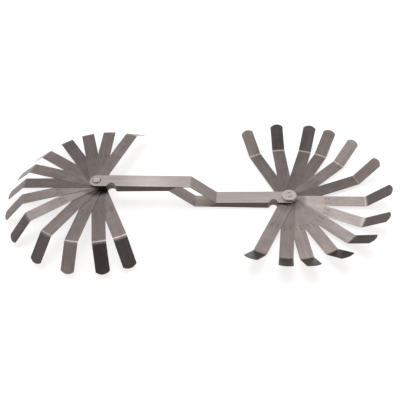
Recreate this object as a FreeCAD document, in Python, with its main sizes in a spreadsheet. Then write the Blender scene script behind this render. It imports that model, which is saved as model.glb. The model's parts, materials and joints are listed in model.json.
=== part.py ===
"""Double-ended offset feeler gauge: 26 angled leaves on one folded steel handle.

Frame: +X along the handle from the left end to the right end, +Y away from the
user, +Z up. The origin is under the middle of the handle, level with the
underside of the lowest stud head. The left end of the handle is the high one.
The right end is the left end turned half round about the Y axis, so every piece
is described once, in the frame of the left end, and placed at either end.
"""
import FreeCAD
import Part
import Sketcher
import math
import os
from FreeCAD import Placement, Rotation, Vector

SIZES = (
    ("pivot_spacing", 184.0, "distance between the two pivot axes"),
    ("level_offset", 21.5, "height between the middles of the two channel ends"),
    ("sheet", 0.7, "thickness of the handle sheet"),
    ("strap_width", 14.4, "width of the handle"),
    ("eye_height", 8.0, "outside height of the channel at a pivot"),
    ("crease_height", 6.1, "outside height of the channel next to the offset"),
    ("near_crease", 1.0, "from the middle to the nearer crease of a strap"),
    ("far_crease", 22.3, "from the middle to the farther crease of a strap"),
    ("crease_radius", 1.5, "inside radius of the creases"),
    ("fold_radius", 0.6, "outside radius of the folds between spine and straps"),
    ("spine_slant", 7.5, "how far the end of the spine leans over along the handle"),
    ("relief_place", 14.8, "from a pivot to the middle of its bend relief"),
    ("relief_depth", 4.4, "depth of the bend relief in the front edge"),
    ("relief_radius", 3.5, "radius at the bottom of the bend relief"),
    ("relief_blend", 3.5, "radius of the mouth of the bend relief"),
    ("leaf_width", 12.7, "width of a leaf"),
    ("thinnest_leaf", 0.05, "thickness of the thinnest leaf"),
    ("leaf_step", 0.02, "step in thickness from one leaf size to the next"),
    ("leaf_gap", 0.04, "running gap between neighbouring leaves"),
    ("flat_reach", 71.6, "from the pivot to where the middle leaf starts to bend"),
    ("bend_radius", 2.2, "inside radius of a leaf's bend"),
    ("tip_angle", 40.7, "how far a leaf's tip is bent out of its plane, degrees"),
    ("tip_reach", 94.2, "from the pivot to the end of the tip, seen from above"),
    ("tip_end_radius", 10.5, "radius of the rounded end of the tip"),
    ("stud_diameter", 5.0, "diameter of the pivot stud"),
    ("stud_clearance", 0.05, "radial clearance round the stud"),
    ("head_diameter", 7.0, "diameter of the stud's head"),
    ("head_height", 1.4, "height of the stud's head"),
    ("edge_break", 0.35, "chamfer on turned edges"),
    ("nut_diameter", 14.0, "diameter of the knurled lock nut"),
    ("nut_height", 3.2, "height of the lock nut"),
    ("nut_clearance", 0.05, "gap between the slackened lock nut and the strap"),
    ("nut_recess_diameter", 7.4, "diameter of the recess round the end of the stud"),
    ("nut_recess_depth", 0.6, "depth of the recess round the end of the stud"),
    ("knurl_depth", 0.35, "depth of one flute of the nut's knurl"),
    ("flute_angle", 90.0, "angle between the two sides of a flute, degrees"),
    ("washer_diameter", 11.0, "diameter of the spacing washers"),
)
LEAVES_PER_END = 13
KNURL_FLUTES = 26
# How far each leaf is fanned out from its place in the handle, degrees, from the
# leaf next to the stud's head to the leaf next to the nut.
LEFT_OPENING = (71.3, 90.7, 108.7, 126.7, 146.7, 164.5, 180.8, 197.7, 217.3, 240.7, 261.6, 281.6, 296.7)
RIGHT_OPENING = (63.2, 83.3, 104.8, 118.1, 135.1, 156.7, 180.5, 202.3, 221.4, 240.1, 259.1, 273.7, 292.7)

doc = FreeCAD.newDocument("offset_feeler_gauge")
sheet = doc.addObject("Spreadsheet::Sheet", "Sizes")
for row, (alias, number, meaning) in enumerate(SIZES, start=1):
    sheet.set(f"A{row}", meaning)
    sheet.set(f"B{row}", str(number))
    sheet.setAlias(f"B{row}", alias)
doc.recompute()

# Lengths that several pieces share, written as expressions on the sheet.
HALF_SPACING = "Sizes.pivot_spacing / 2"
HALF_OFFSET = "Sizes.level_offset / 2"
HALF_WIDTH = "Sizes.strap_width / 2"
EYE_TOP = "Sizes.eye_height / 2"
EYE_INSIDE = "(Sizes.eye_height / 2 - Sizes.sheet)"
BORE_RADIUS = "(Sizes.stud_diameter / 2 + Sizes.stud_clearance)"
NUT_FACE = "(Sizes.eye_height / 2 + Sizes.nut_clearance)"
MIDDLE_HEIGHT = "(Sizes.level_offset / 2 + Sizes.eye_height / 2 + Sizes.head_height)"


def value(expression):
    """Number that an expression on the sheet gives now."""
    result = sheet.evalExpression(str(expression))
    return float(getattr(result, "Value", result))


# ---------------------------------------------------------------- sketch helpers


def new_body(label):
    body = doc.addObject("PartDesign::Body", label)
    body.Label = label
    return body


def new_sketch(body, name, role):
    """Sketch on one of the body's own origin planes."""
    plane = next(item for item in body.Origin.OriginFeatures if item.Role == role)
    sketch = body.newObject("Sketcher::SketchObject", name)
    sketch.AttachmentSupport = (plane, "")
    sketch.MapMode = "FlatFace"
    return sketch


def bind(sketch, constraint, expression):
    """Add a dimension and tie it to the sheet."""
    index = sketch.addConstraint(constraint)
    sketch.setExpression(f"Constraints[{index}]", expression)


def pin(sketch, geometry, point, across, up):
    """Hold one point of the sketch at the two expressions."""
    bind(sketch, Sketcher.Constraint("DistanceX", -1, 1, geometry, point, value(across)), across)
    bind(sketch, Sketcher.Constraint("DistanceY", -1, 1, geometry, point, value(up)), up)


def add_line(sketch, start, end):
    return sketch.addGeometry(Part.LineSegment(start, end), False)


def draw_polygon(sketch, corners):
    """Closed polygon whose corners are pairs of expressions."""
    places = [Vector(value(across), value(up), 0) for across, up in corners]
    first = sketch.GeometryCount
    for number, place in enumerate(places):
        add_line(sketch, place, places[(number + 1) % len(places)])
    for number, (across, up) in enumerate(corners):
        following = (number + 1) % len(corners)
        sketch.addConstraint(Sketcher.Constraint("Coincident", first + number, 2, first + following, 1))
        pin(sketch, first + number, 1, across, up)


def draw_circle(sketch, across, up, radius):
    """Circle placed and sized by expressions."""
    centre = Vector(value(across), value(up), 0)
    index = sketch.addGeometry(Part.Circle(centre, Vector(0, 0, 1), value(radius)), False)
    pin(sketch, index, 3, across, up)
    bind(sketch, Sketcher.Constraint("Radius", index, value(radius)), radius)


def add_arc(sketch, centre, radius, start, end):
    """Arc drawn anticlockwise between two angles in degrees."""
    circle = Part.Circle(centre, Vector(0, 0, 1), radius)
    arc = Part.ArcOfCircle(circle, math.radians(start), math.radians(end))
    return sketch.addGeometry(arc, False)


def pad_across(body, sketch, width):
    """Pad to both sides of the sketch by the full width."""
    pad = body.newObject("PartDesign::Pad", sketch.Name + "_pad")
    pad.Profile = sketch
    pad.Midplane = True
    pad.setExpression("Length", width)
    return pad


def cut_through(body, sketch):
    """Pocket to both sides of the sketch, right through the body."""
    pocket = body.newObject("PartDesign::Pocket", sketch.Name + "_cut")
    pocket.Profile = sketch
    pocket.Midplane = True
    pocket.Type = "ThroughAll"
    return pocket


def revolve(body, sketch):
    """Full turn about the vertical axis of the sketch."""
    turned = body.newObject("PartDesign::Revolution", sketch.Name + "_turned")
    turned.Profile = sketch
    turned.ReferenceAxis = (sketch, ["V_Axis"])
    turned.Angle = 360
    return turned


def round_edges(body, base, name, radius, wanted):
    """Round the edges of the last feature that the test picks out."""
    doc.recompute()
    picked = [f"Edge{n}" for n, edge in enumerate(base.Shape.Edges, start=1) if wanted(edge)]
    rounding = body.newObject("PartDesign::Fillet", name)
    rounding.Base = (base, picked)
    rounding.setExpression("Radius", radius)
    return rounding


# ------------------------------------------------------------------- the handle
# One strip of sheet steel folded into a channel: an upper and a lower strap joined
# by a spine along the front. Halfway along, both straps step down by the offset and
# the spine is cut away, so the bent tips of the folded leaves lie between them.


def mirrored(corners):
    """The same corners turned half round about the middle of the handle."""
    return [(f"-({across})", f"-({up})") for across, up in corners]


def strap_surface(inset):
    """Corners along the upper strap, from the left end to the right, set in by the inset."""
    over = f"{HALF_OFFSET} - ({inset})"
    under = f"-({HALF_OFFSET}) - ({inset})"
    slope = "atan(Sizes.level_offset / (Sizes.far_crease + Sizes.near_crease))"
    lean = f"({inset}) * tan({slope} / 2)"
    end = f"{HALF_SPACING} + Sizes.strap_width"
    level = f"({HALF_SPACING} - Sizes.relief_place - Sizes.relief_radius)"
    return [
        (f"-({end})", f"{over} + {EYE_TOP}"),
        (f"-({level})", f"{over} + {EYE_TOP}"),
        (f"-Sizes.near_crease - {lean}", f"{over} + Sizes.crease_height / 2"),
        (f"Sizes.far_crease - {lean}", f"{under} + Sizes.crease_height / 2"),
        (level, f"{under} + {EYE_TOP}"),
        (end, f"{under} + {EYE_TOP}"),
    ]


def side_outline(inset):
    """Side view of the handle: the upper strap's corners, then the lower strap's."""
    upper = strap_surface(inset)
    return upper + mirrored(upper)


def is_crease(edge, outline, numbers, reach):
    """True for an edge across the handle that lies at one of the numbered corners."""
    box = edge.BoundBox
    if box.YLength < value(HALF_WIDTH) or box.XLength > 0.01:
        return False
    for number in numbers:
        across, up = outline[number]
        if math.hypot(box.XMin - value(across), box.ZMin - value(up)) < reach:
            return True
    return False


def is_fold(edge):
    """True for an edge that runs along the handle on its front face."""
    box = edge.BoundBox
    front = -value(HALF_WIDTH)
    return abs(box.YMin - front) < 0.001 and abs(box.YMax - front) < 0.001 and box.XLength > 0.01


def draw_plan(sketch):
    """Plan of the handle inside a larger rectangle, which is the metal cut away.

    Each eye is a half circle round its pivot. The front edge dips in at the bend
    reliefs: a round bottom with a round blend on each side of its mouth.
    """
    far = f"{HALF_SPACING} + Sizes.strap_width * 2"
    draw_polygon(sketch, [(f"-({far})", f"-({far})"), (far, f"-({far})"), (far, far), (f"-({far})", far)])
    half_spacing = value(HALF_SPACING)
    half_width = value(HALF_WIDTH)
    bottom = value("Sizes.relief_radius")
    blend = value("Sizes.relief_blend")
    depth = value("Sizes.relief_depth")
    reach = math.sqrt((bottom + blend) ** 2 - (bottom + blend - depth) ** 2)
    turn = math.degrees(math.acos((bottom + blend - depth) / (bottom + blend)))
    relief = half_spacing - value("Sizes.relief_place")
    relief_height = depth - half_width - bottom
    reliefs = []
    for middle in (-relief, relief):
        blend_in = add_arc(sketch, Vector(middle - reach, blend - half_width, 0), blend, 270, 270 + turn)
        dip = add_arc(sketch, Vector(middle, relief_height, 0), bottom, 90 - turn, 90 + turn)
        blend_out = add_arc(sketch, Vector(middle + reach, blend - half_width, 0), blend, 270 - turn, 270)
        reliefs.append((blend_in, dip, blend_out))
    right_eye = add_arc(sketch, Vector(half_spacing, 0, 0), half_width, -90, 90)
    back = add_line(sketch, Vector(half_spacing, half_width, 0), Vector(-half_spacing, half_width, 0))
    left_eye = add_arc(sketch, Vector(-half_spacing, 0, 0), half_width, 90, 270)
    front = -half_width
    front_left = add_line(sketch, Vector(-half_spacing, front, 0), Vector(-relief - reach, front, 0))
    front_middle = add_line(sketch, Vector(-relief + reach, front, 0), Vector(relief - reach, front, 0))
    front_right = add_line(sketch, Vector(relief + reach, front, 0), Vector(half_spacing, front, 0))
    chain = [(left_eye, 2), (front_left, 1), (front_left, 2), (reliefs[0][0], 1), (reliefs[0][0], 2)]
    chain += [(reliefs[0][1], 2), (reliefs[0][1], 1), (reliefs[0][2], 1), (reliefs[0][2], 2)]
    chain += [(front_middle, 1), (front_middle, 2), (reliefs[1][0], 1), (reliefs[1][0], 2)]
    chain += [(reliefs[1][1], 2), (reliefs[1][1], 1), (reliefs[1][2], 1), (reliefs[1][2], 2)]
    chain += [(front_right, 1), (front_right, 2), (right_eye, 1), (right_eye, 2), (back, 1)]
    chain += [(back, 2), (left_eye, 1)]
    for (first, first_point), (second, second_point) in zip(chain[0::2], chain[1::2]):
        sketch.addConstraint(Sketcher.Constraint("Tangent", first, first_point, second, second_point))
    sketch.addConstraint(Sketcher.Constraint("Horizontal", back))
    sketch.addConstraint(Sketcher.Constraint("Horizontal", front_middle))
    for eye, side in ((left_eye, "-"), (right_eye, "")):
        pin(sketch, eye, 3, f"{side}{HALF_SPACING}", "0")
    bind(sketch, Sketcher.Constraint("Radius", right_eye, half_width), HALF_WIDTH)
    for (blend_in, dip, blend_out), side in zip(reliefs, ("-", "")):
        pin(sketch, dip, 3, f"{side}({HALF_SPACING} - Sizes.relief_place)",
            f"Sizes.relief_depth - {HALF_WIDTH} - Sizes.relief_radius")
        bind(sketch, Sketcher.Constraint("Radius", dip, bottom), "Sizes.relief_radius")
        for arc in (blend_in, blend_out):
            bind(sketch, Sketcher.Constraint("Radius", arc, blend), "Sizes.relief_blend")
    for side in ("-", ""):
        draw_circle(sketch, f"{side}{HALF_SPACING}", "0", BORE_RADIUS)


def build_handle():
    body = new_body("handle")
    outside = side_outline("0")
    inside = side_outline("Sizes.sheet")

    block = new_sketch(body, "side_view", "XZ_Plane")
    draw_polygon(block, outside)
    pad_across(body, block, "Sizes.strap_width")

    channel = new_sketch(body, "channel", "XZ_Plane")
    channel.setExpression("AttachmentOffset.Base.z", f"-({HALF_WIDTH})")
    draw_polygon(channel, inside)
    hollow = body.newObject("PartDesign::Pocket", "channel_cut")
    hollow.Profile = channel
    hollow.Reversed = True
    hollow.setExpression("Length", "Sizes.strap_width - Sizes.sheet")

    convex = round_edges(
        body, hollow, "creases_outside", "Sizes.crease_radius + Sizes.sheet",
        lambda edge: is_crease(edge, outside, (2, 8), 0.1) or is_crease(edge, inside, (3, 9), 0.1))
    creased = round_edges(
        body, convex, "creases_inside", "Sizes.crease_radius",
        lambda edge: is_crease(edge, outside, (3, 9), 0.1) or is_crease(edge, inside, (2, 8), 0.1))
    round_edges(body, creased, "folds", "Sizes.fold_radius", is_fold)

    # The spine is cut away round the offset, its ends leaning along the handle,
    # and at the eyes, where the leaves swing out to the front.
    gaps = new_sketch(body, "spine_gaps", "XZ_Plane")
    slant = [("Sizes.spine_slant - Sizes.far_crease", inside[2][1]), inside[2], inside[3]]
    draw_polygon(gaps, slant + mirrored(slant))
    outer_end = f"({HALF_SPACING} + Sizes.strap_width)"
    inner_end = f"({HALF_SPACING} - Sizes.relief_place)"
    high_eye = [
        (f"-{outer_end}", f"{HALF_OFFSET} - {EYE_INSIDE}"),
        (f"-{inner_end}", f"{HALF_OFFSET} - {EYE_INSIDE}"),
        (f"-{inner_end}", f"{HALF_OFFSET} + {EYE_INSIDE}"),
        (f"-{outer_end}", f"{HALF_OFFSET} + {EYE_INSIDE}"),
    ]
    draw_polygon(gaps, high_eye)
    draw_polygon(gaps, mirrored(high_eye))
    cut_through(body, gaps)

    plan = new_sketch(body, "plan", "XY_Plane")
    draw_plan(plan)
    cut_through(body, plan)
    return body


# ------------------------------------------------------------------- the leaves
# A leaf is a flat strip with a round hub, its tip bent down in the frame of the
# high end. The bend is turned about the pivot axis, and each leaf starts to bend a
# little farther out than the one below it, so neighbouring leaves keep the same gap
# along flat, bend and tip, and slide past each other at any angle of the fan.


def leaf_thickness(size_number):
    return f"(Sizes.thinnest_leaf + Sizes.leaf_step * {size_number})"


def stack_height(first_size, count):
    """Height of a number of leaves lying on each other, two sizes apart each, with gaps."""
    total = f"{count} * {leaf_thickness(first_size)} + Sizes.leaf_step * {count * (count - 1)}"
    return f"({total} + Sizes.leaf_gap * {max(count - 1, 0)})"


def leaf_underside(first_size, number):
    """Height of a leaf's lower face above the middle of its channel."""
    return f"({stack_height(first_size, LEAVES_PER_END)} / 2 - {stack_height(first_size, number)})"


def draw_leaf_profile(sketch, thickness, bend_start):
    """Section of the sheet from the pivot axis out over the flat, the bend and the tip."""
    thick = value(thickness)
    radius = value("Sizes.bend_radius")
    angle = math.radians(value("Sizes.tip_angle"))
    start = value(bend_start)
    overrun = f"(Sizes.tip_reach + Sizes.leaf_width / 4)"
    down = Vector(math.cos(angle), -math.sin(angle), 0)
    out = Vector(math.sin(angle), math.cos(angle), 0)
    centre = Vector(start, -radius, 0)
    inner_end = centre + out * radius
    inner_tip = inner_end + down * ((value(overrun) - inner_end.x) / down.x)
    outer_end = centre + out * (radius + thick)
    outer_tip = inner_tip + out * thick
    axis_line = add_line(sketch, Vector(0, thick, 0), Vector(0, 0, 0))
    under = add_line(sketch, Vector(0, 0, 0), Vector(start, 0, 0))
    turn = 90 - math.degrees(angle)
    inner_bend = add_arc(sketch, centre, radius, turn, 90)
    under_tip = add_line(sketch, inner_end, inner_tip)
    end = add_line(sketch, inner_tip, outer_tip)
    over_tip = add_line(sketch, outer_tip, outer_end)
    outer_bend = add_arc(sketch, centre, radius + thick, turn, 90)
    over = add_line(sketch, Vector(start, thick, 0), Vector(0, thick, 0))
    sketch.addConstraint(Sketcher.Constraint("Coincident", axis_line, 2, -1, 1))
    sketch.addConstraint(Sketcher.Constraint("Coincident", under, 1, axis_line, 2))
    sketch.addConstraint(Sketcher.Constraint("Tangent", under, 2, inner_bend, 2))
    sketch.addConstraint(Sketcher.Constraint("Tangent", inner_bend, 1, under_tip, 1))
    sketch.addConstraint(Sketcher.Constraint("Coincident", under_tip, 2, end, 1))
    sketch.addConstraint(Sketcher.Constraint("Coincident", end, 2, over_tip, 1))
    sketch.addConstraint(Sketcher.Constraint("Tangent", over_tip, 2, outer_bend, 1))
    sketch.addConstraint(Sketcher.Constraint("Tangent", outer_bend, 2, over, 1))
    sketch.addConstraint(Sketcher.Constraint("Coincident", over, 2, axis_line, 1))
    sketch.addConstraint(Sketcher.Constraint("Coincident", inner_bend, 3, outer_bend, 3))
    sketch.addConstraint(Sketcher.Constraint("Vertical", axis_line))
    sketch.addConstraint(Sketcher.Constraint("Horizontal", under))
    sketch.addConstraint(Sketcher.Constraint("Horizontal", over))
    sketch.addConstraint(Sketcher.Constraint("Perpendicular", under_tip, end))
    bind(sketch, Sketcher.Constraint("DistanceY", axis_line, 2, axis_line, 1, thick), thickness)
    bind(sketch, Sketcher.Constraint("DistanceX", -1, 1, inner_bend, 3, start), bend_start)
    bind(sketch, Sketcher.Constraint("Radius", inner_bend, radius), "Sizes.bend_radius")
    bind(sketch, Sketcher.Constraint("DistanceX", -1, 1, under_tip, 2, inner_tip.x), overrun)
    bind(sketch, Sketcher.Constraint("Angle", under_tip, -angle), "-Sizes.tip_angle")


def draw_leaf_outline(sketch):
    """Everything round a leaf's outline, and its bore, which are cut out of the disc."""
    rim = "(Sizes.tip_reach + Sizes.leaf_width)"
    draw_circle(sketch, "0", "0", rim)
    draw_circle(sketch, "0", "0", BORE_RADIUS)
    half = value("Sizes.leaf_width / 2")
    end_radius = value("Sizes.tip_end_radius")
    end_centre = value("Sizes.tip_reach - Sizes.tip_end_radius")
    spread = math.asin(half / end_radius)
    shoulder = end_centre + end_radius * math.cos(spread)
    hub = add_arc(sketch, Vector(0, 0, 0), half, 90, 270)
    right_side = add_line(sketch, Vector(0, -half, 0), Vector(shoulder, -half, 0))
    degrees = math.degrees(spread)
    end = add_arc(sketch, Vector(end_centre, 0, 0), end_radius, -degrees, degrees)
    left_side = add_line(sketch, Vector(shoulder, half, 0), Vector(0, half, 0))
    sketch.addConstraint(Sketcher.Constraint("Tangent", hub, 2, right_side, 1))
    sketch.addConstraint(Sketcher.Constraint("Coincident", right_side, 2, end, 1))
    sketch.addConstraint(Sketcher.Constraint("Coincident", end, 2, left_side, 1))
    sketch.addConstraint(Sketcher.Constraint("Tangent", left_side, 2, hub, 1))
    sketch.addConstraint(Sketcher.Constraint("Horizontal", right_side))
    sketch.addConstraint(Sketcher.Constraint("Horizontal", left_side))
    pin(sketch, hub, 3, "0", "0")
    pin(sketch, end, 3, "Sizes.tip_reach - Sizes.tip_end_radius", "0")
    bind(sketch, Sketcher.Constraint("Radius", hub, half), "Sizes.leaf_width / 2")
    bind(sketch, Sketcher.Constraint("Radius", end, end_radius), "Sizes.tip_end_radius")


def build_leaf(label, first_size, number):
    """Leaf by its number in the stack, counted from the stud's head."""
    body = new_body(label)
    thickness = leaf_thickness(first_size + 2 * (number - 1))
    bend_start = f"Sizes.flat_reach + {leaf_underside(first_size, number)} * tan(Sizes.tip_angle / 2)"
    profile = new_sketch(body, "profile", "XZ_Plane")
    profile.AttachmentOffset = Placement(Vector(0, 0, 0), Rotation(Vector(0, 1, 0), 180))
    draw_leaf_profile(profile, thickness, bend_start)
    revolve(body, profile)
    outline = new_sketch(body, "outline", "XY_Plane")
    draw_leaf_outline(outline)
    cut_through(body, outline)
    return body


# ------------------------------------------------------- pivots: stud, nut, washers
# A flat-headed stud passes through the straps, two spacing washers and the leaves. A
# knurled nut on its end clamps them.


def build_turned(label, corners):
    """Round piece from the corners of its half section."""
    body = new_body(label)
    section = new_sketch(body, "section", "XZ_Plane")
    draw_polygon(section, corners)
    revolve(body, section)
    return body


def build_stud(label):
    head_top = f"({EYE_TOP} + Sizes.head_height)"
    tail = f"({NUT_FACE} + Sizes.nut_height)"
    return build_turned(label, [
        ("0", head_top),
        ("Sizes.head_diameter / 2 - Sizes.edge_break", head_top),
        ("Sizes.head_diameter / 2", f"{head_top} - Sizes.edge_break"),
        ("Sizes.head_diameter / 2", EYE_TOP),
        ("Sizes.stud_diameter / 2", EYE_TOP),
        ("Sizes.stud_diameter / 2", f"Sizes.edge_break - {tail}"),
        ("Sizes.stud_diameter / 2 - Sizes.edge_break", f"-{tail}"),
        ("0", f"-{tail}"),
    ])


def build_nut(label):
    """Lock nut: a chamfered ring with a recess round the stud's end and a knurled rim."""
    outer_face = f"({NUT_FACE} + Sizes.nut_height)"
    body = build_turned(label, [
        (BORE_RADIUS, f"-{NUT_FACE}"),
        ("Sizes.nut_diameter / 2 - Sizes.edge_break", f"-{NUT_FACE}"),
        ("Sizes.nut_diameter / 2", f"-{NUT_FACE} - Sizes.edge_break"),
        ("Sizes.nut_diameter / 2", f"Sizes.edge_break - {outer_face}"),
        ("Sizes.nut_diameter / 2 - Sizes.edge_break", f"-{outer_face}"),
        ("Sizes.nut_recess_diameter / 2", f"-{outer_face}"),
        ("Sizes.nut_recess_diameter / 2", f"Sizes.nut_recess_depth - {outer_face}"),
        (BORE_RADIUS, f"Sizes.nut_recess_depth - {outer_face}"),
    ])
    flute = new_sketch(body, "flute", "XY_Plane")
    outside = "Sizes.nut_diameter / 2 + Sizes.knurl_depth"
    half_mouth = "2 * Sizes.knurl_depth * tan(Sizes.flute_angle / 2)"
    draw_polygon(flute, [
        ("Sizes.nut_diameter / 2 - Sizes.knurl_depth", "0"),
        (outside, f"-{half_mouth}"),
        (outside, half_mouth),
    ])
    cut = cut_through(body, flute)
    knurl = body.newObject("PartDesign::PolarPattern", "knurl")
    knurl.Originals = [cut]
    knurl.Axis = (flute, ["N_Axis"])
    knurl.Angle = 360
    knurl.Occurrences = KNURL_FLUTES
    body.Tip = knurl
    return body


def build_washer(label, first_size, side):
    """Spacing washer between a strap and the stack; side is 1 by the head, -1 by the nut."""
    strap_face = f"{side} * {EYE_INSIDE}"
    leaf_face = f"{side} * ({stack_height(first_size, LEAVES_PER_END)} / 2 + Sizes.leaf_gap)"
    return build_turned(label, [
        (BORE_RADIUS, leaf_face),
        ("Sizes.washer_diameter / 2", leaf_face),
        ("Sizes.washer_diameter / 2", strap_face),
        (BORE_RADIUS, strap_face),
    ])


# ---------------------------------------------------------------------- assembly


def place_at_end(body, side, opening=0, height="0"):
    """Put a piece on a pivot: side -1 is the high left end, 1 the low right end.

    The right end is the left one turned half round about the Y axis.
    """
    fan = Rotation(Vector(0, 0, 1), opening)
    if side > 0:
        fan = Rotation(Vector(0, 1, 0), 180) * fan
    body.Placement = Placement(Vector(0, 0, 0), fan)
    body.setExpression(".Placement.Base.x", f"{side} * {HALF_SPACING}")
    body.setExpression(".Placement.Base.z", f"{MIDDLE_HEIGHT} - {side} * ({HALF_OFFSET} + {height})")


def build_end(end_name, side, first_size, openings):
    """All pieces on one pivot."""
    pieces = []
    for number, opening in enumerate(openings, start=1):
        leaf = build_leaf(f"{end_name}_leaf_{number:02d}", first_size, number)
        place_at_end(leaf, side, opening, leaf_underside(first_size, number))
        pieces.append(leaf)
    plain = [
        build_stud(f"{end_name}_stud"),
        build_nut(f"{end_name}_lock_nut"),
        build_washer(f"{end_name}_head_washer", first_size, 1),
        build_washer(f"{end_name}_nut_washer", first_size, -1),
    ]
    for piece in plain:
        place_at_end(piece, side)
    return pieces + plain


handle = build_handle()
handle.setExpression(".Placement.Base.z", MIDDLE_HEIGHT)
parts = [handle]
parts += build_end("left", -1, 0, LEFT_OPENING)
parts += build_end("right", 1, 1, RIGHT_OPENING)
doc.recompute()

for item in doc.Objects:
    if "Invalid" in item.State or "Error" in item.State:
        raise RuntimeError(f"{item.Label} did not compute: {item.State}")
for piece in parts:
    if piece.Shape.isNull() or not piece.Shape.isValid() or len(piece.Shape.Solids) != 1:
        raise RuntimeError(f"{piece.Label} is not one valid solid")

os.makedirs("parts", exist_ok=True)
for piece in parts:
    piece.Shape.exportStep(f"parts/{piece.Label}.step")
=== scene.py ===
"""Double-ended offset feeler gauge: the looks of its steel handle, 26 leaves and pivots.

Metres, in the frame of the solids: +X along the handle from the high left end to the
low right end, +Y to the open back of the channel, +Z up.
"""
import bmesh
import bpy
import json
import math
from mathutils import Matrix, Vector


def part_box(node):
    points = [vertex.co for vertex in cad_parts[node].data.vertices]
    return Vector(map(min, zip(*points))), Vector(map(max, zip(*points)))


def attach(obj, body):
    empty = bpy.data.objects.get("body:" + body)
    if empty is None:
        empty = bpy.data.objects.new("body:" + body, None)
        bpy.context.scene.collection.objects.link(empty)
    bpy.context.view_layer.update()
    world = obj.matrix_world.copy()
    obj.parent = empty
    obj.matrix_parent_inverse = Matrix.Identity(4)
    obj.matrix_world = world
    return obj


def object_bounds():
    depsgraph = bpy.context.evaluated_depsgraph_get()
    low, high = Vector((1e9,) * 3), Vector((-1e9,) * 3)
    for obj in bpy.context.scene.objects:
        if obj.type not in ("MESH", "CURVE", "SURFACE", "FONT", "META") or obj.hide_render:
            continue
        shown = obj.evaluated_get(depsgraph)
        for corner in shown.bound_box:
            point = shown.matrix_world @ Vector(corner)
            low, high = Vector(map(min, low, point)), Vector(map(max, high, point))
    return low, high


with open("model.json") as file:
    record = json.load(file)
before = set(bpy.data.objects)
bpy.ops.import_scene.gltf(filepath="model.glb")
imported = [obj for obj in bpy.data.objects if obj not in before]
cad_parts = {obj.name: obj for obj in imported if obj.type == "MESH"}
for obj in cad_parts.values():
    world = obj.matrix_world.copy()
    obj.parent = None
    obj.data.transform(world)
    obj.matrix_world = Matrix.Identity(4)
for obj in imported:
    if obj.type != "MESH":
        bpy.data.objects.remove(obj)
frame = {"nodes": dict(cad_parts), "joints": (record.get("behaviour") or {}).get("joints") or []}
cad_low, cad_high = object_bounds()


# ------------------------------------------------------------------- the handle
# One strip of sheet steel folded into a channel with a step in the middle, with an eye
# at each end for a stud. The mill grain runs along the strip. The straps are linished
# bright, and the spine is darkened with painted shade.

HANDLE_BRIGHT = (0.594, 0.545, 0.530, 1)
HANDLE_DULL = (0.416, 0.382, 0.369, 1)
HANDLE_ROUGHNESS = 0.50
HANDLE_ANISOTROPY = 0.35

# noise patterns, in features for each metre along X, Y and Z
STRIP_SCRATCHES = {"per_metre": (60, 5200, 5200), "detail": 2.0}
STRIP_STREAKS = {"per_metre": (22, 900, 900), "detail": 4.0}
STRIP_CLOUD = {"per_metre": (35, 90, 90), "detail": 3.0}
NOISE_ROUGHNESS = 0.6

# the stretch of each noise that counts, and what it comes to
STREAK_VALUES = (0.30, 0.70)
CLOUD_VALUES = (0.35, 0.75)
CLOUD_STRENGTH = 0.55
POLISH_VALUES = (0.25, 0.75)
POLISH_ROUGHNESS = (0.44, 0.58)
SCRATCH_STRENGTH = 0.18
SCRATCH_DEPTH = 0.00004

# painted highlight across the left strap, painted shade on the right strap
HIGHLIGHT_BAND_PLACE = -0.042
HIGHLIGHT_BAND_REACH = 0.030
HIGHLIGHT_BAND_BRIGHTNESS = 1.40
RIGHT_STRAP_START = 0.03
RIGHT_STRAP_PAINTED_SHADE = 0.97
# painted shadow in a ring round each stud head and lock nut
SHADOW_RING_WIDTH = 0.0011
SHADOW_RING_SHADE = 0.30

# painted shade on the spine, which faces the front; it fades out part of the way round the folds
SPINE_PAINTED_SHADE = (0.097, 0.085, 0.080, 1)
SPINE_FACING = (-0.97, -0.55)


def add_node(tree, kind, **settings):
    """New node of a kind, with settings of its own."""
    node = tree.nodes.new(kind)
    for name, setting in settings.items():
        setattr(node, name, setting)
    return node


def shaded(colour, shade):
    """A colour made darker below a shade of 1, or brighter above it."""
    return tuple(tone * shade for tone in colour[:3]) + (1,)


def grey(shade):
    """Grey that is white at a shade of 1."""
    return (shade, shade, shade, 1)


def new_steel(name, base, roughness, anisotropy=0.0):
    """Metal material with one principled shader, its plain values already set."""
    material = bpy.data.materials.new(name)
    material.use_nodes = True
    material.diffuse_color = base
    shader = material.node_tree.nodes["Principled BSDF"]
    shader.inputs["Base Color"].default_value = base
    shader.inputs["Metallic"].default_value = 1.0
    shader.inputs["Roughness"].default_value = roughness
    shader.inputs["Anisotropic"].default_value = anisotropy
    return material


def object_coordinates(tree, centre=(0, 0, 0), turn=0.0):
    """Coordinates from a point of the gauge, turned so that X runs along the piece."""
    coordinates = add_node(tree, "ShaderNodeTexCoord")
    mapping = add_node(tree, "ShaderNodeMapping", vector_type="TEXTURE")
    mapping.inputs["Location"].default_value = centre
    mapping.inputs["Rotation"].default_value = (0, 0, turn)
    tree.links.new(coordinates.outputs["Object"], mapping.inputs["Vector"])
    return mapping.outputs["Vector"]


def distance_from_axis(tree, centre):
    """Distance of a point from the upright axis through a centre."""
    flat = add_node(tree, "ShaderNodeVectorMath", operation="MULTIPLY")
    flat.inputs[1].default_value = (1, 1, 0)
    tree.links.new(object_coordinates(tree, centre), flat.inputs[0])
    length = add_node(tree, "ShaderNodeVectorMath", operation="LENGTH")
    tree.links.new(flat.outputs[0], length.inputs[0])
    return length.outputs["Value"]


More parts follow.
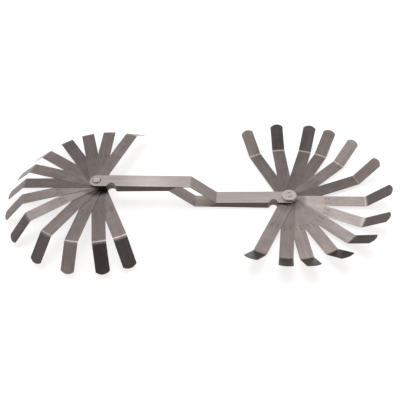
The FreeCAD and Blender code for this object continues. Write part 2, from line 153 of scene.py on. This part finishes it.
def stretched_noise(tree, vector, per_metre, detail, seed=0.0):
    """Noise with its own number of features for each metre along X, Y and Z."""
    scale = add_node(tree, "ShaderNodeMapping")
    scale.inputs["Scale"].default_value = per_metre
    noise = add_node(tree, "ShaderNodeTexNoise", noise_dimensions="4D")
    noise.inputs["W"].default_value = seed
    noise.inputs["Scale"].default_value = 1.0
    noise.inputs["Detail"].default_value = detail
    noise.inputs["Roughness"].default_value = NOISE_ROUGHNESS
    tree.links.new(vector, scale.inputs["Vector"])
    tree.links.new(scale.outputs["Vector"], noise.inputs["Vector"])
    return noise.outputs["Fac"]


def remap(tree, source, values, becomes):
    """The first pair of values becomes the second pair, and values past them stop there."""
    node = add_node(tree, "ShaderNodeMapRange")
    for socket, number in zip(("From Min", "From Max"), values):
        node.inputs[socket].default_value = number
    for socket, number in zip(("To Min", "To Max"), becomes):
        node.inputs[socket].default_value = number
    tree.links.new(source, node.inputs["Value"])
    return node.outputs["Result"]


def mix_colours(tree, factor, first, second, blend="MIX"):
    """Mix of two colours, each a plain colour or another node's output."""
    # inputs 6 and 7 and output 2 are the node's colours, the rest serve other types
    node = add_node(tree, "ShaderNodeMix", data_type="RGBA", blend_type=blend)
    if isinstance(factor, float):
        node.inputs[0].default_value = factor
    else:
        tree.links.new(factor, node.inputs[0])
    for socket, colour in ((6, first), (7, second)):
        if isinstance(colour, tuple):
            node.inputs[socket].default_value = colour
        else:
            tree.links.new(colour, node.inputs[socket])
    return node.outputs[2]


def calculate(tree, operation, first, second=0.0):
    """Sum, product or the like of two numbers or outputs."""
    node = add_node(tree, "ShaderNodeMath", operation=operation)
    for socket, source in enumerate((first, second)):
        if isinstance(source, (int, float)):
            node.inputs[socket].default_value = source
        else:
            tree.links.new(source, node.inputs[socket])
    return node.outputs[0]


def distance_from(tree, number, middle):
    """How far a number is from a middle value, on either side of it."""
    return calculate(tree, "ABSOLUTE", calculate(tree, "SUBTRACT", number, middle))


def set_bump(tree, height, strength, distance):
    """Shallow relief in the finish, from a pattern of heights."""
    bump = add_node(tree, "ShaderNodeBump")
    bump.inputs["Strength"].default_value = strength
    bump.inputs["Distance"].default_value = distance
    tree.links.new(height, bump.inputs["Height"])
    shader = tree.nodes["Principled BSDF"]
    tree.links.new(bump.outputs["Normal"], shader.inputs["Normal"])


def set_grain(tree, across):
    """Highlights spread across the grain, in a direction that turns with the piece."""
    direction = add_node(tree, "ShaderNodeCombineXYZ")
    for socket, number in zip(("X", "Y", "Z"), across):
        direction.inputs[socket].default_value = number
    turned = add_node(tree, "ShaderNodeVectorTransform", vector_type="VECTOR",
                      convert_from="OBJECT", convert_to="WORLD")
    tree.links.new(direction.outputs["Vector"], turned.inputs["Vector"])
    shader = tree.nodes["Principled BSDF"]
    tree.links.new(turned.outputs["Vector"], shader.inputs["Tangent"])


def separate(tree, vector):
    """X, Y and Z of a direction or a place."""
    split = add_node(tree, "ShaderNodeSeparateXYZ")
    tree.links.new(vector, split.inputs["Vector"])
    return split.outputs


def facing_in_object_space(tree):
    """Direction that a face looks in, which turns with the piece."""
    geometry = add_node(tree, "ShaderNodeNewGeometry")
    local = add_node(tree, "ShaderNodeVectorTransform", vector_type="NORMAL",
                     convert_from="WORLD", convert_to="OBJECT")
    tree.links.new(geometry.outputs["Normal"], local.inputs["Vector"])
    return separate(tree, local.outputs["Vector"])


def painted_light_on_straps(tree, place):
    """Painted light: a highlight on the left strap, shade on the right, shadows round studs."""
    along = separate(tree, place)["X"]
    from_highlight_band = distance_from(tree, along, HIGHLIGHT_BAND_PLACE)
    # painted highlight in a band across the left strap
    highlight_band = remap(tree, from_highlight_band, (0.0, HIGHLIGHT_BAND_REACH), (HIGHLIGHT_BAND_BRIGHTNESS, 1.0))
    # painted shade that makes the right strap a little duller
    right_strap_painted_shade = remap(tree, along, (0.0, RIGHT_STRAP_START), (1.0, RIGHT_STRAP_PAINTED_SHADE))
    shade = calculate(tree, "MULTIPLY", highlight_band, right_strap_painted_shade)
    for stud in ("left_stud", "right_stud"):
        low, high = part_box(stud)
        head = (high.x - low.x) / 2
        outward = distance_from_axis(tree, ((low.x + high.x) / 2, 0, 0))
        # painted shadow round the stud's head and nut
        painted_shadow_ring = remap(tree, outward, (head, head + SHADOW_RING_WIDTH), (SHADOW_RING_SHADE, 1.0))
        shade = calculate(tree, "MULTIPLY", shade, painted_shadow_ring)
    return shade


def rolled_strip_steel():
    """Strip with a mill grain, streaked and clouded, with painted light on straps and spine."""
    material = new_steel("rolled_strip_steel", HANDLE_BRIGHT, HANDLE_ROUGHNESS, HANDLE_ANISOTROPY)
    tree = material.node_tree
    place = object_coordinates(tree)
    scratches = stretched_noise(tree, place, **STRIP_SCRATCHES)
    streaks = stretched_noise(tree, place, **STRIP_STREAKS)
    cloud = stretched_noise(tree, place, **STRIP_CLOUD)
    streaked = remap(tree, streaks, STREAK_VALUES, (0.0, 1.0))
    tone = mix_colours(tree, streaked, HANDLE_DULL, HANDLE_BRIGHT)
    clouded = remap(tree, cloud, CLOUD_VALUES, (0.0, CLOUD_STRENGTH))
    tone = mix_colours(tree, clouded, tone, HANDLE_BRIGHT)
    tone = mix_colours(tree, 1.0, tone, painted_light_on_straps(tree, place), "MULTIPLY")
    # painted shade on the spine's outer face, which faces the front
    front = facing_in_object_space(tree)["Y"]
    spine = remap(tree, front, SPINE_FACING, (1.0, 0.0))
    tone = mix_colours(tree, spine, tone, SPINE_PAINTED_SHADE)
    shader = tree.nodes["Principled BSDF"]
    tree.links.new(tone, shader.inputs["Base Color"])
    roughness = remap(tree, streaks, POLISH_VALUES, POLISH_ROUGHNESS)
    tree.links.new(roughness, shader.inputs["Roughness"])
    set_grain(tree, (0, 1, 0))
    set_bump(tree, scratches, SCRATCH_STRENGTH, SCRATCH_DEPTH)
    return material


def dress(node, material):
    """Gives a node of the solids its finish."""
    materials = frame["nodes"][node].data.materials
    materials.clear()
    materials.append(material)


dress("handle", rolled_strip_steel())


# ------------------------------------------------------------------- the leaves
# 13 hardened strips at each end, ground along their length, each with its thickness
# in millimetres and inches engraved near the hub. Every leaf has its own direction,
# so the grain and the numbers follow that direction.

LEAVES = 13
FIRST_THICKNESS = {"left": 0.05, "right": 0.07}
THICKNESS_STEP = 0.04
MM_PER_INCH = 25.4
MM_PER_METRE = 1000

LEAF_BASE = (0.318, 0.285, 0.276)
DULL_SHADE = 0.70
BRIGHT_SHADE = 1.24
LEAF_ROUGHNESS = 0.42
LEAF_ANISOTROPY = 0.93

# noise patterns along the leaf, across it and through it, each leaf with its own seed
LEAF_SCRATCHES = {"per_metre": (90, 5200, 90), "detail": 2.0}
LEAF_LINES = {"per_metre": (9, 820, 9), "detail": 4.0}
LEAF_STAINS = {"per_metre": (55, 95, 55), "detail": 3.0}
LEAF_SMEARS = {"per_metre": (240, 45, 240), "detail": 3.0}
FIRST_SEED = {"left": 3.0, "right": 60.0}
SEED_STEP = 3.7
SMEAR_SEED = 500.0

LINE_VALUES = (0.32, 0.68)
STAIN_VALUES = (0.40, 0.75)
STAIN_STRENGTH = 0.75
SMEAR_VALUES = (0.52, 0.70)
SMEAR_STRENGTH = 0.40
LUSTRE_VALUES = (0.30, 0.80)
LUSTRE_ROUGHNESS = (0.39, 0.46)
LEAF_SCRATCH_STRENGTH = 0.05
LEAF_SCRATCH_DEPTH = 0.00002

# distances from the pivot
HUB_REACH = (0.014, 0.018)
BEND_REACH = (0.0722, 0.0734)
BEND_MIDDLE = 0.0726
BEND_WIDTH = 0.0018
# painted highlight along each bend, this many times as bright as the leaf
BEND_PAINTED_HIGHLIGHT = 1.7
BEND_ROUGHENING = 0.10

# Painted reflections mixed with finish on each leaf's flat and on its tip past the bend,
# and painted shade at its hub, set leaf by leaf.
FLAT_FINISH_AND_REFLECTION = {
    "left": (1.35, 1.25, 1.10, 0.91, 1.19, 1.07, 0.90, 1.06, 1.05, 1.09, 1.31, 1.24, 1.50),
    "right": (1.07, 1.16, 1.09, 1.10, 1.27, 0.86, 1.69, 1.64, 1.42, 1.80, 1.91, 1.57, 1.64),
}
TIP_FINISH_AND_REFLECTION = {
    "left": (1.30, 0.70, 0.90, 0.50, 1.10, 0.84, 1.11, 1.23, 0.75, 0.67, 1.21, 0.41, 0.38),
    "right": (1.63, 0.62, 0.86, 1.28, 1.59, 1.54, 0.58, 0.66, 0.44, 0.22, 0.22, 0.22, 0.22),
}
HUB_PAINTED_SHADE = {
    "left": (1.0, 1.0, 1.0, 1.0, 1.0, 1.0, 1.0, 0.9, 0.7, 0.40, 0.25, 0.20, 0.20),
    "right": (0.9, 0.9, 0.9, 0.9, 0.9, 0.9, 0.55, 0.6, 0.7, 0.8, 0.8, 0.8, 0.8),
}


def ground_leaf_steel(name, pivot, heading, seed, flat_finish_and_reflection, tip_finish_and_reflection, painted_hub_level):
    """Ground leaf: lines, stains and smears, with painted reflection, highlight and shade."""
    base = shaded(LEAF_BASE, flat_finish_and_reflection)
    dull = shaded(base, DULL_SHADE)
    bright = shaded(base, BRIGHT_SHADE)
    material = new_steel(name, base, LEAF_ROUGHNESS, LEAF_ANISOTROPY)
    tree = material.node_tree
    place = object_coordinates(tree, pivot, heading)
    scratches = stretched_noise(tree, place, **LEAF_SCRATCHES, seed=seed)
    lines = stretched_noise(tree, place, **LEAF_LINES, seed=seed)
    stains = stretched_noise(tree, place, **LEAF_STAINS, seed=seed)
    smears = stretched_noise(tree, place, **LEAF_SMEARS, seed=seed + SMEAR_SEED)
    tone = mix_colours(tree, remap(tree, lines, LINE_VALUES, (0.0, 1.0)), dull, base)
    stained = remap(tree, stains, STAIN_VALUES, (0.0, STAIN_STRENGTH))
    tone = mix_colours(tree, stained, tone, bright)
    smeared = remap(tree, smears, SMEAR_VALUES, (0.0, SMEAR_STRENGTH))
    tone = mix_colours(tree, smeared, tone, dull)
    # painted reflection past the bend, painted highlight on it and painted shade at the hub
    outward = distance_from_axis(tree, pivot)
    # painted reflection on the tip past the bend
    past_bend = remap(tree, outward, BEND_REACH, (0.0, 1.0))
    shade = mix_colours(tree, past_bend, grey(1), grey(tip_finish_and_reflection))
    # painted highlight along the bend
    from_bend = distance_from(tree, outward, BEND_MIDDLE)
    on_bend = remap(tree, from_bend, (0.0, BEND_WIDTH), (1.0, 0.0))
    shade = mix_colours(tree, on_bend, shade, grey(BEND_PAINTED_HIGHLIGHT))
    # painted shade at the hub
    off_hub = remap(tree, outward, HUB_REACH, (0.0, 1.0))
    painted_hub_shade = mix_colours(tree, off_hub, grey(painted_hub_level), grey(1))
    tone = mix_colours(tree, 1.0, tone, shade, "MULTIPLY")
    tone = mix_colours(tree, 1.0, tone, painted_hub_shade, "MULTIPLY")
    shader = tree.nodes["Principled BSDF"]
    tree.links.new(tone, shader.inputs["Base Color"])
    roughness = remap(tree, stains, LUSTRE_VALUES, LUSTRE_ROUGHNESS)
    roughened = remap(tree, from_bend, (0.0, BEND_WIDTH), (BEND_ROUGHENING, 0.0))
    roughness = calculate(tree, "ADD", roughness, roughened)
    tree.links.new(roughness, shader.inputs["Roughness"])
    set_grain(tree, (-math.sin(heading), math.cos(heading), 0))
    set_bump(tree, scratches, LEAF_SCRATCH_STRENGTH, LEAF_SCRATCH_DEPTH)
    return material


MARK_BASE = (0.20, 0.176, 0.169, 1)
MARK_DARK = (0.15, 0.132, 0.127, 1)
MARK_PALE = (0.25, 0.221, 0.213, 1)
MARK_ROUGHNESS = 0.6
MARK_SPECKLE = {"per_metre": (2500, 2500, 2500), "detail": 2.0}
NUMBER_HEIGHT = 0.0036
NUMBER_PLACE = 0.037
NUMBER_DEPTH = 0.000012
NUMBER_CURVE_STEPS = 3
ROW_SPACING = 0.0050


def engraved_steel():
    """Matt, speckled floor of the figures, darker than the ground steel."""
    material = new_steel("engraved_mark", MARK_BASE, MARK_ROUGHNESS)
    tree = material.node_tree
    speckle = stretched_noise(tree, object_coordinates(tree), **MARK_SPECKLE)
    tone = mix_colours(tree, speckle, MARK_DARK, MARK_PALE)
    tree.links.new(tone, tree.nodes["Principled BSDF"].inputs["Base Color"])
    return material


def engrave_number(name, leaf, text, row, pivot, heading, surface, engraving):
    """Shallow filled number that reads from the hub outwards, on the leaf's upper face."""
    curve = bpy.data.curves.new(name, "FONT")
    curve.body = text
    curve.size = NUMBER_HEIGHT
    curve.align_x = "CENTER"
    curve.align_y = "CENTER"
    curve.resolution_u = NUMBER_CURVE_STEPS
    curve.extrude = NUMBER_DEPTH / 2
    lettering = bpy.data.objects.new(f"{name}_curve", curve)
    bpy.context.scene.collection.objects.link(lettering)
    bpy.context.view_layer.update()
    mesh = bpy.data.meshes.new_from_object(lettering)
    bpy.data.objects.remove(lettering)
    bpy.data.curves.remove(curve)
    along = Matrix.Translation((NUMBER_PLACE, row * ROW_SPACING / 2, 0))
    turned = Matrix.Rotation(heading, 4, "Z")
    lifted = Matrix.Translation((pivot[0], pivot[1], surface))
    mesh.transform(lifted @ turned @ along)
    mesh.materials.clear()
    mesh.materials.append(engraving)
    number = bpy.data.objects.new(name, mesh)
    bpy.context.scene.collection.objects.link(number)
    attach(number, leaf)


engraving = engraved_steel()
joints = {joint["name"]: joint for joint in frame["joints"]}
for end in ("left", "right"):
    for count in range(LEAVES):
        leaf = f"{end}_leaf_{count + 1:02d}"
        joint = joints[f"{leaf}_swing"]
        pivot = joint["pos_m"]
        opening = math.radians(-joint["range_deg"][0])
        heading = opening if end == "left" else math.pi - opening
        finish_and_painted_light = [table[end][count] for table in (FLAT_FINISH_AND_REFLECTION, TIP_FINISH_AND_REFLECTION, HUB_PAINTED_SHADE)]
        seed = FIRST_SEED[end] + SEED_STEP * (count + 1)
        dress(leaf, ground_leaf_steel(f"{leaf}_steel", pivot, heading, seed, *finish_and_painted_light))
        thickness = FIRST_THICKNESS[end] + THICKNESS_STEP * count
        low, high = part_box(leaf)
        # left tips bend down and right tips bend up, away from the leaf's flat
        upper_face = high.z if end == "left" else low.z + thickness / MM_PER_METRE
        inches = f"{thickness / MM_PER_INCH:.3f}".lstrip("0")
        rows = (("millimetres", f"{thickness:.2f}", 1), ("inches", inches, -1))
        for unit, text, row in rows:
            engrave_number(f"{leaf}_{unit}", leaf, text, row, pivot, heading, upper_face,
                           engraving)


# ------------------------------------------------- studs, lock nuts and washers
# Turned steel: the stud heads and nut faces show fine rings from facing on the
# lathe, the nuts are nickel plated and a little mottled, the washers are plain.

STUD_TONE = (0.78, 0.72, 0.70, 1)
STUD_ROUGHNESS = 0.30
STUD_MOTTLE = 0.6
NUT_TONE = (0.80, 0.762, 0.748, 1)
NUT_ROUGHNESS = 0.28
NUT_MOTTLE = 0.5
WASHER_TONE = (0.30, 0.28, 0.27, 1)
WASHER_ROUGHNESS = 0.45
WASHER_MOTTLE = 0.5
MOTTLE_SHADE = 0.50
MOTTLE_PATCHES = {"per_metre": (520, 520, 520), "detail": 4.0}
MOTTLE_VALUES = (0.50, 0.68)
PLATING_VALUES = (0.30, 0.80)
PLATING_SMOOTHEST = 0.6
PLATING_ROUGHEST = 1.5
RINGS_SCALE = 900.0
RINGS_DISTORTION = 0.6
RINGS_STRENGTH = 0.15
RINGS_DEPTH = 0.00003


def turned_steel(name, base, pivot, roughness, mottle):
    """Lathe-turned face: rings round the pivot axis, with mottled plating."""
    material = new_steel(name, base, roughness)
    tree = material.node_tree
    place = object_coordinates(tree, pivot)
    rings = add_node(tree, "ShaderNodeTexWave", wave_type="RINGS", rings_direction="Z")
    rings.inputs["Scale"].default_value = RINGS_SCALE
    rings.inputs["Distortion"].default_value = RINGS_DISTORTION
    tree.links.new(place, rings.inputs["Vector"])
    patches = stretched_noise(tree, place, **MOTTLE_PATCHES)
    mottled = remap(tree, patches, MOTTLE_VALUES, (0.0, mottle))
    tone = mix_colours(tree, mottled, base, shaded(base, MOTTLE_SHADE))
    shader = tree.nodes["Principled BSDF"]
    tree.links.new(tone, shader.inputs["Base Color"])
    smoothest, roughest = roughness * PLATING_SMOOTHEST, roughness * PLATING_ROUGHEST
    uneven = remap(tree, patches, PLATING_VALUES, (smoothest, roughest))
    tree.links.new(uneven, shader.inputs["Roughness"])
    set_bump(tree, rings.outputs["Fac"], RINGS_STRENGTH, RINGS_DEPTH)
    return material


TURNED_FINISHES = {
    "stud": ("stud", STUD_TONE, STUD_ROUGHNESS, STUD_MOTTLE),
    "lock_nut": ("nut", NUT_TONE, NUT_ROUGHNESS, NUT_MOTTLE),
    "head_washer": ("head_washer", WASHER_TONE, WASHER_ROUGHNESS, WASHER_MOTTLE),
    "nut_washer": ("nut_washer", WASHER_TONE, WASHER_ROUGHNESS, WASHER_MOTTLE),
}
for end in ("left", "right"):
    pivot = joints[f"{end}_leaf_01_swing"]["pos_m"]
    for piece, (finish, tone, roughness, mottle) in TURNED_FINISHES.items():
        steel = turned_steel(f"{end}_{finish}_steel", tone, pivot, roughness, mottle)
        dress(f"{end}_{piece}", steel)


# ------------------------------------------------------------- floor and light
# Plain white paper that fills the view, one soft box high above the gauge, and a
# room round it that is bright overhead and dim on the user's side.

FLOOR_SIZE = 60.0
FLOOR_GAP = 0.0002
FLOOR_WHITE = (0.58, 0.58, 0.58, 1)
FLOOR_GLOW = 0.66


def white_paper():
    """Matt white; seen or reflected it is lifted to white and keeps its shadows."""
    material = bpy.data.materials.new("white_paper")
    material.use_nodes = True
    tree = material.node_tree
    tree.nodes.remove(tree.nodes["Principled BSDF"])
    diffuse = add_node(tree, "ShaderNodeBsdfDiffuse")
    diffuse.inputs["Color"].default_value = FLOOR_WHITE
    rays = add_node(tree, "ShaderNodeLightPath")
    seen = calculate(tree, "MAXIMUM", rays.outputs["Is Camera Ray"], rays.outputs["Is Glossy Ray"])
    seen = calculate(tree, "MAXIMUM", seen, rays.outputs["Is Transmission Ray"])
    glow = add_node(tree, "ShaderNodeEmission")
    tree.links.new(calculate(tree, "MULTIPLY", seen, FLOOR_GLOW), glow.inputs["Strength"])
    both = add_node(tree, "ShaderNodeAddShader")
    tree.links.new(diffuse.outputs[0], both.inputs[0])
    tree.links.new(glow.outputs[0], both.inputs[1])
    tree.links.new(both.outputs[0], tree.nodes["Material Output"].inputs["Surface"])
    return material


floor_mesh = bpy.data.meshes.new("floor")
sheet = bmesh.new()
bmesh.ops.create_grid(sheet, x_segments=1, y_segments=1, size=FLOOR_SIZE / 2)
sheet.to_mesh(floor_mesh)
sheet.free()
floor_mesh.materials.append(white_paper())
floor = bpy.data.objects.new("floor", floor_mesh)
floor.location = (0, 0, cad_low.z - FLOOR_GAP)
bpy.context.scene.collection.objects.link(floor)

# The room's level in a direction grows as the direction points upwards, and falls as
# it points to the user or to the far side.
ROOM_COLOUR = (1.0, 0.945, 0.93, 1)
UPWARD = (0.10, 0.75)
UPWARD_LEVELS = (0.40, 1.0)
USER_DIRECTION = (0.05, -0.648, 0.760)
TO_USER = (0.72, 0.97)
USER_LEVELS = (1.0, 0.12)
TO_FAR_SIDE = (0.10, 0.70)
FAR_SIDE_LEVELS = (1.0, 0.65)


def room_light():
    """Brightest overhead, dark where the user stands, lower on the far side."""
    world = bpy.data.worlds.new("room")
    world.use_nodes = True
    tree = world.node_tree
    direction = add_node(tree, "ShaderNodeTexCoord").outputs["Generated"]
    parts = separate(tree, direction)
    towards_user = add_node(tree, "ShaderNodeVectorMath", operation="DOT_PRODUCT")
    towards_user.inputs[1].default_value = USER_DIRECTION
    tree.links.new(direction, towards_user.inputs[0])
    level = remap(tree, parts["Z"], UPWARD, UPWARD_LEVELS)
    user = remap(tree, towards_user.outputs["Value"], TO_USER, USER_LEVELS)
    level = calculate(tree, "MULTIPLY", level, user)
    far = remap(tree, parts["Y"], TO_FAR_SIDE, FAR_SIDE_LEVELS)
    level = calculate(tree, "MULTIPLY", level, far)
    background = tree.nodes["Background"]
    background.inputs["Color"].default_value = ROOM_COLOUR
    tree.links.new(level, background.inputs["Strength"])
    return world


bpy.context.scene.world = room_light()

SOFT_BOX_HEIGHT = 1.6
SOFT_BOX_SIZE = 0.8
SOFT_BOX_POWER = 6.0

light = bpy.data.lights.new("overhead_soft_box", "AREA")
light.shape = "RECTANGLE"
light.size = light.size_y = SOFT_BOX_SIZE
light.energy = SOFT_BOX_POWER
lamp = bpy.data.objects.new("overhead_soft_box", light)
lamp.location = (0, 0, SOFT_BOX_HEIGHT)
bpy.context.scene.collection.objects.link(lamp)


# ------------------------------------------------------------------- the camera
# Above and in front of the gauge, a little to its right, rolled slightly so that
# the handle lies nearly level.

VIEW_AZIMUTH = math.radians(8.166)
VIEW_ELEVATION = math.radians(46.915)
VIEW_ROLL = math.radians(-5.545)
VIEW_DISTANCE = 0.551637
AIM_OFFSET = Vector((0.0075, -0.011, 0))
LENS = 52.2
SENSOR_WIDTH = 36.0

aim = (cad_low + cad_high) / 2 + AIM_OFFSET
back = Vector((
    math.sin(VIEW_AZIMUTH) * math.cos(VIEW_ELEVATION),
    -math.cos(VIEW_AZIMUTH) * math.cos(VIEW_ELEVATION),
    math.sin(VIEW_ELEVATION),
))
camera_data = bpy.data.cameras.new("camera")
camera_data.lens = LENS
camera_data.sensor_width = SENSOR_WIDTH
camera = bpy.data.objects.new("camera", camera_data)
camera.location = aim + back * VIEW_DISTANCE
level_view = (-back).to_track_quat("-Z", "Y").to_matrix().to_4x4()
camera.rotation_euler = (level_view @ Matrix.Rotation(VIEW_ROLL, 4, "Z")).to_euler()
bpy.context.scene.collection.objects.link(camera)
bpy.context.scene.camera = camera
bpy.context.scene.view_settings.view_transform = "Standard"
